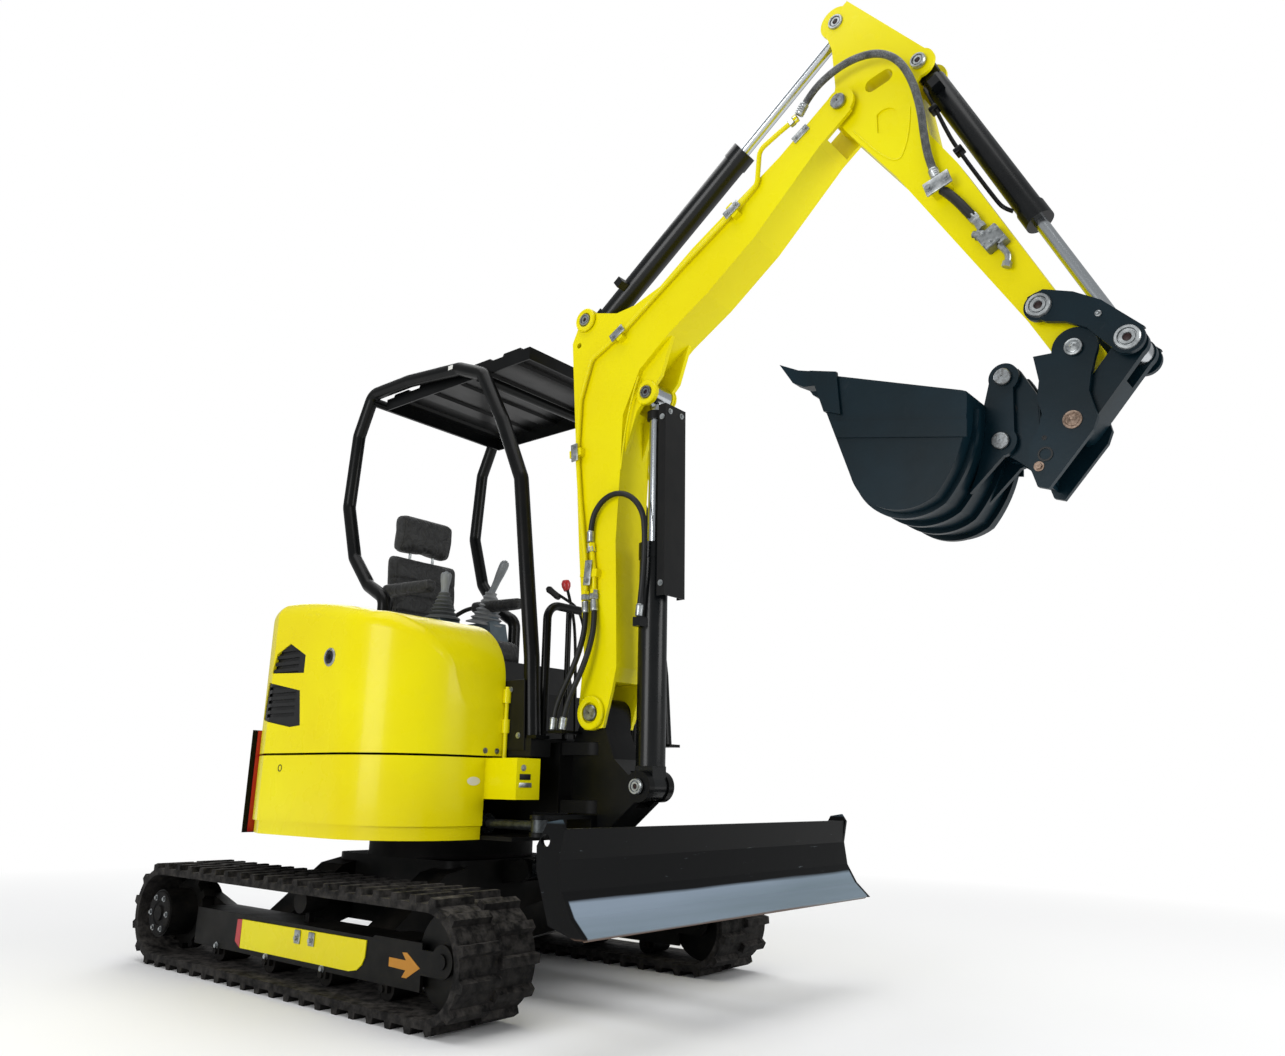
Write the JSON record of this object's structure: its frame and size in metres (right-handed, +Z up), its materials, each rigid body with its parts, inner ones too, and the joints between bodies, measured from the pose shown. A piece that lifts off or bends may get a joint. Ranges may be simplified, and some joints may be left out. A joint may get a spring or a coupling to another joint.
{
  "type": "crawler excavator",
  "caption": "Compact crawler excavator with an open canopy, rubber tracks, a front blade, a swinging boom, an arm and a curled bucket on a quick coupler",
  "frame": {"origin": "on the ground under the slew axis", "axes": "+X to the machine's front, +Y to its left, +Z up along the slew axis"},
  "size_m": [3.8154, 1.59, 3.474],
  "materials": {
    "yellow_paint": "glossy lemon-yellow machine enamel",
    "black_paint": "semi-gloss black enamel",
    "blade_paint": "worn black enamel over steel",
    "frame_paint": "satin black enamel with dust",
    "track_rubber": "dusty moulded rubber",
    "cylinder_paint": "gloss black cylinder enamel",
    "chrome_rod": "hard-chromed ground rod",
    "black_plastic": "grained black plastic",
    "grey_plastic": "blue-grey moulded plastic",
    "seat_cover": "black woven seat cloth",
    "hose_rubber": "wire-braided hydraulic hose",
    "cast_steel": "rough black casting"
  },
  "bodies": {
    "undercarriage": {"car_body": "frame_paint", "track_frame_left": "frame_paint", "track_frame_right": "frame_paint", "track_left": "track_rubber", "track_right": "track_rubber", "final_drives": "frame_paint", "idlers": "frame_paint", "rollers": "cast_steel", "slew_ring": "cast_steel"},
    "blade": {"blade": "blade_paint", "blade_arms": "frame_paint"},
    "blade_barrel": {"blade_cylinder_barrel": "cylinder_paint"},
    "blade_rod": {"blade_cylinder_rod": "chrome_rod"},
    "house": {"house_frame": "frame_paint", "lower_panels": "yellow_paint", "counterweight": "cast_steel", "engine": "cast_steel", "rear_cover": "black_paint", "seat_base": "black_plastic", "floor": "frame_paint", "canopy_frame": "black_paint", "canopy_roof": "black_paint", "seat_cushion": "seat_cover", "seat_back": "seat_cover", "consoles": "grey_plastic", "front_controls": "black_paint", "swing_cylinder_barrel": "cylinder_paint"},
    "hood": {"hood": "yellow_paint", "hood_vents": "black_plastic"},
    "swing": {"swing_bracket": "black_paint"},
    "swing_rod": {"swing_cylinder_rod": "chrome_rod"},
    "boom": {"boom": "yellow_paint", "boom_lines": "yellow_paint", "joint_hose": "hose_rubber", "arch_hose": "hose_rubber", "feed_hose_rear": "hose_rubber", "feed_hose_front": "hose_rubber"},
    "boom_barrel": {"boom_cylinder_barrel": "cylinder_paint"},
    "boom_rod": {"boom_cylinder_rod": "chrome_rod", "rod_guard": "black_paint"},
    "arm": {"arm": "yellow_paint"},
    "arm_barrel": {"arm_cylinder_barrel": "cylinder_paint"},
    "arm_rod": {"arm_cylinder_rod": "chrome_rod"},
    "bucket": {"coupler": "black_paint", "bucket": "blade_paint"},
    "side_links": {"side_links": "black_paint"},
    "push_link": {"push_link": "black_paint"},
    "bucket_barrel": {"bucket_cylinder_barrel": "cylinder_paint"},
    "bucket_rod": {"bucket_cylinder_rod": "chrome_rod"}
  },
  "joints": [
    {"name": "slew", "type": "hinge", "parent": "undercarriage", "child": "house", "pos_m": [0, 0, 0.515], "axis": [0, 0, 1], "continuous": true},
    {"name": "blade_lift", "type": "hinge", "parent": "undercarriage", "child": "blade", "pos_m": [0.56, 0, 0.2], "axis": [0, -1, 0], "range_deg": [-40, 3]},
    {"name": "blade_barrel_pivot", "type": "hinge", "parent": "undercarriage", "child": "blade_barrel", "pos_m": [0.47, 0, 0.395], "axis": [0, -1, 0], "range_deg": [-34.49, 2.6]},
    {"name": "blade_rod_slide", "type": "slide", "parent": "blade_barrel", "child": "blade_rod", "axis": [0.9911, 0, 0.1334], "range_m": [-0.00921, 0.12157]},
    {"name": "hood_hinge", "type": "hinge", "parent": "house", "child": "hood", "pos_m": [0.545, -0.239, 1], "axis": [0, 0, 1], "range_deg": [0, 65]},
    {"name": "boom_swing", "type": "hinge", "parent": "house", "child": "swing", "pos_m": [0.8, 0, 0.7], "axis": [0, 0, 1], "range_deg": [-55, 75]},
    {"name": "swing_rod_slide", "type": "slide", "parent": "house", "child": "swing_rod", "axis": [1, 0, 0], "range_m": [-0.2132, 0.2907]},
    {"name": "boom_lift", "type": "hinge", "parent": "swing", "child": "boom", "pos_m": [0.835, 0, 0.964], "axis": [0, -1, 0], "range_deg": [-94, 5], "deforming": ["feed_hose_rear", "feed_hose_front"]},
    {"name": "boom_barrel_pivot", "type": "hinge", "parent": "swing", "child": "boom_barrel", "pos_m": [1.045, 0, 0.707], "axis": [0, -1, 0], "range_deg": [-92.13, 4.91]},
    {"name": "boom_rod_slide", "type": "slide", "parent": "boom_barrel", "child": "boom_rod", "axis": [0.0034, 0, 1], "range_m": [-0.48424, 0.02585]},
    {"name": "arm_crowd", "type": "hinge", "parent": "boom", "child": "arm", "pos_m": [1.926, 0, 3.042], "axis": [0, 1, 0], "range_deg": [-78, 30], "deforming": ["joint_hose"]},
    {"name": "arm_barrel_pivot", "type": "hinge", "parent": "boom", "child": "arm_barrel", "pos_m": [0.745, 0, 2.562], "axis": [0, 1, 0], "range_deg": [-3.52, 1.36]},
    {"name": "arm_rod_slide", "type": "slide", "parent": "arm_barrel", "child": "arm_rod", "axis": [0.8092, 0, 0.5876], "range_m": [-0.42212, 0.16242]},
    {"name": "bucket_curl", "type": "hinge", "parent": "arm", "child": "bucket", "pos_m": [2.613, 0, 1.912], "axis": [0, -1, 0], "range_deg": [0, 165]},
    {"name": "side_link_pivot", "type": "hinge", "parent": "arm", "child": "side_links", "pos_m": [2.535, 0, 2.058], "axis": [0, -1, 0], "range_deg": [0, 119.5]},
    {"name": "push_link_pivot", "type": "hinge", "parent": "side_links", "child": "push_link", "pos_m": [2.755, 0, 1.896], "axis": [0, -1, 0], "range_deg": [-50.2, 0]},
    {"name": "bucket_barrel_pivot", "type": "hinge", "parent": "arm", "child": "bucket_barrel", "pos_m": [2.213, 0, 3.078], "axis": [0, -1, 0], "range_deg": [0, 3.31]},
    {"name": "bucket_rod_slide", "type": "slide", "parent": "bucket_barrel", "child": "bucket_rod", "axis": [0.4168, 0, -0.909], "range_m": [-0.47123, 0]}
  ],
  "couplings": [
    {"joint": "blade_barrel_pivot", "follows": "blade_lift", "ratio": 0.862},
    {"joint": "blade_rod_slide", "follows": "blade_lift", "m_per_rad": -0.174},
    {"joint": "swing_rod_slide", "follows": "boom_swing", "m_per_rad": 0.222},
    {"joint": "boom_barrel_pivot", "follows": "boom_lift", "ratio": 0.98},
    {"joint": "boom_rod_slide", "follows": "boom_lift", "m_per_rad": 0.2951},
    {"joint": "arm_barrel_pivot", "follows": "arm_crowd", "ratio": 0.045},
    {"joint": "arm_rod_slide", "follows": "arm_crowd", "m_per_rad": 0.31},
    {"joint": "side_link_pivot", "follows": "bucket_curl", "ratio": 0.7242},
    {"joint": "push_link_pivot", "follows": "bucket_curl", "ratio": -0.3042},
    {"joint": "bucket_barrel_pivot", "follows": "bucket_curl", "ratio": 0.02},
    {"joint": "bucket_rod_slide", "follows": "bucket_curl", "m_per_rad": -0.1636}
  ]
}
